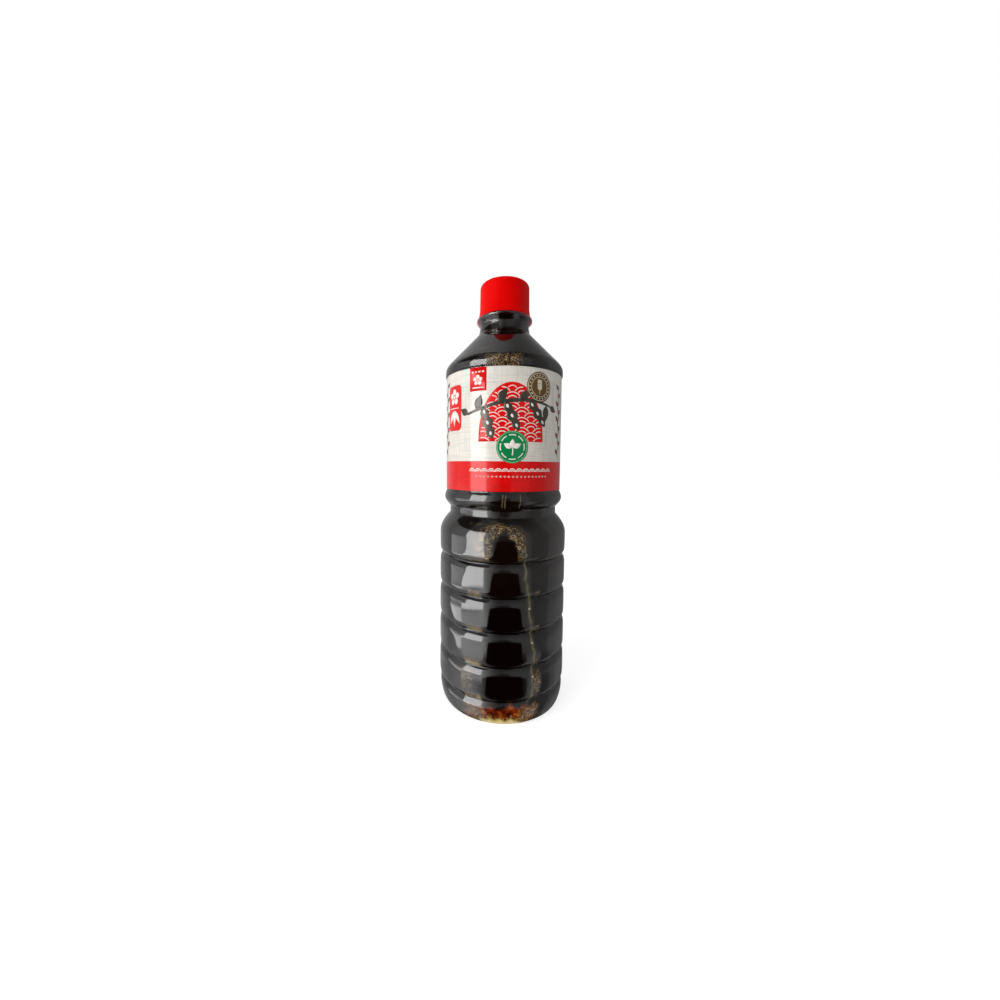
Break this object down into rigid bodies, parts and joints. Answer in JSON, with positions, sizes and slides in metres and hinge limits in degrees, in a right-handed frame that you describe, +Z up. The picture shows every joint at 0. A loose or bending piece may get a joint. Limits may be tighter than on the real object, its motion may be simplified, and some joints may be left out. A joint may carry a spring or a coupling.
{
  "type": "soy sauce bottle",
  "caption": "Clear plastic bottle of dark soy sauce with a ribbed body, a waist, a wrapped label in a recessed panel and a red screw cap.",
  "frame": {"origin": "on the floor at the middle of the round foot", "axes": "+Z up along the bottle's axis, the label's front faces -Y"},
  "size_m": [0.082, 0.082, 0.2668],
  "materials": {
    "clear_plastic": "clear, glossy, thin blown wall",
    "soy_sauce": "dark brown, near black liquid, amber where thin",
    "printed_label": "satin printed label with a fine linen texture, cream over a red band",
    "red_plastic": "satin moulded plastic, bright red"
  },
  "bodies": {
    "root": {"bottle": "clear_plastic", "sauce": "soy_sauce", "label": "printed_label", "cap": "red_plastic"}
  },
  "joints": []
}
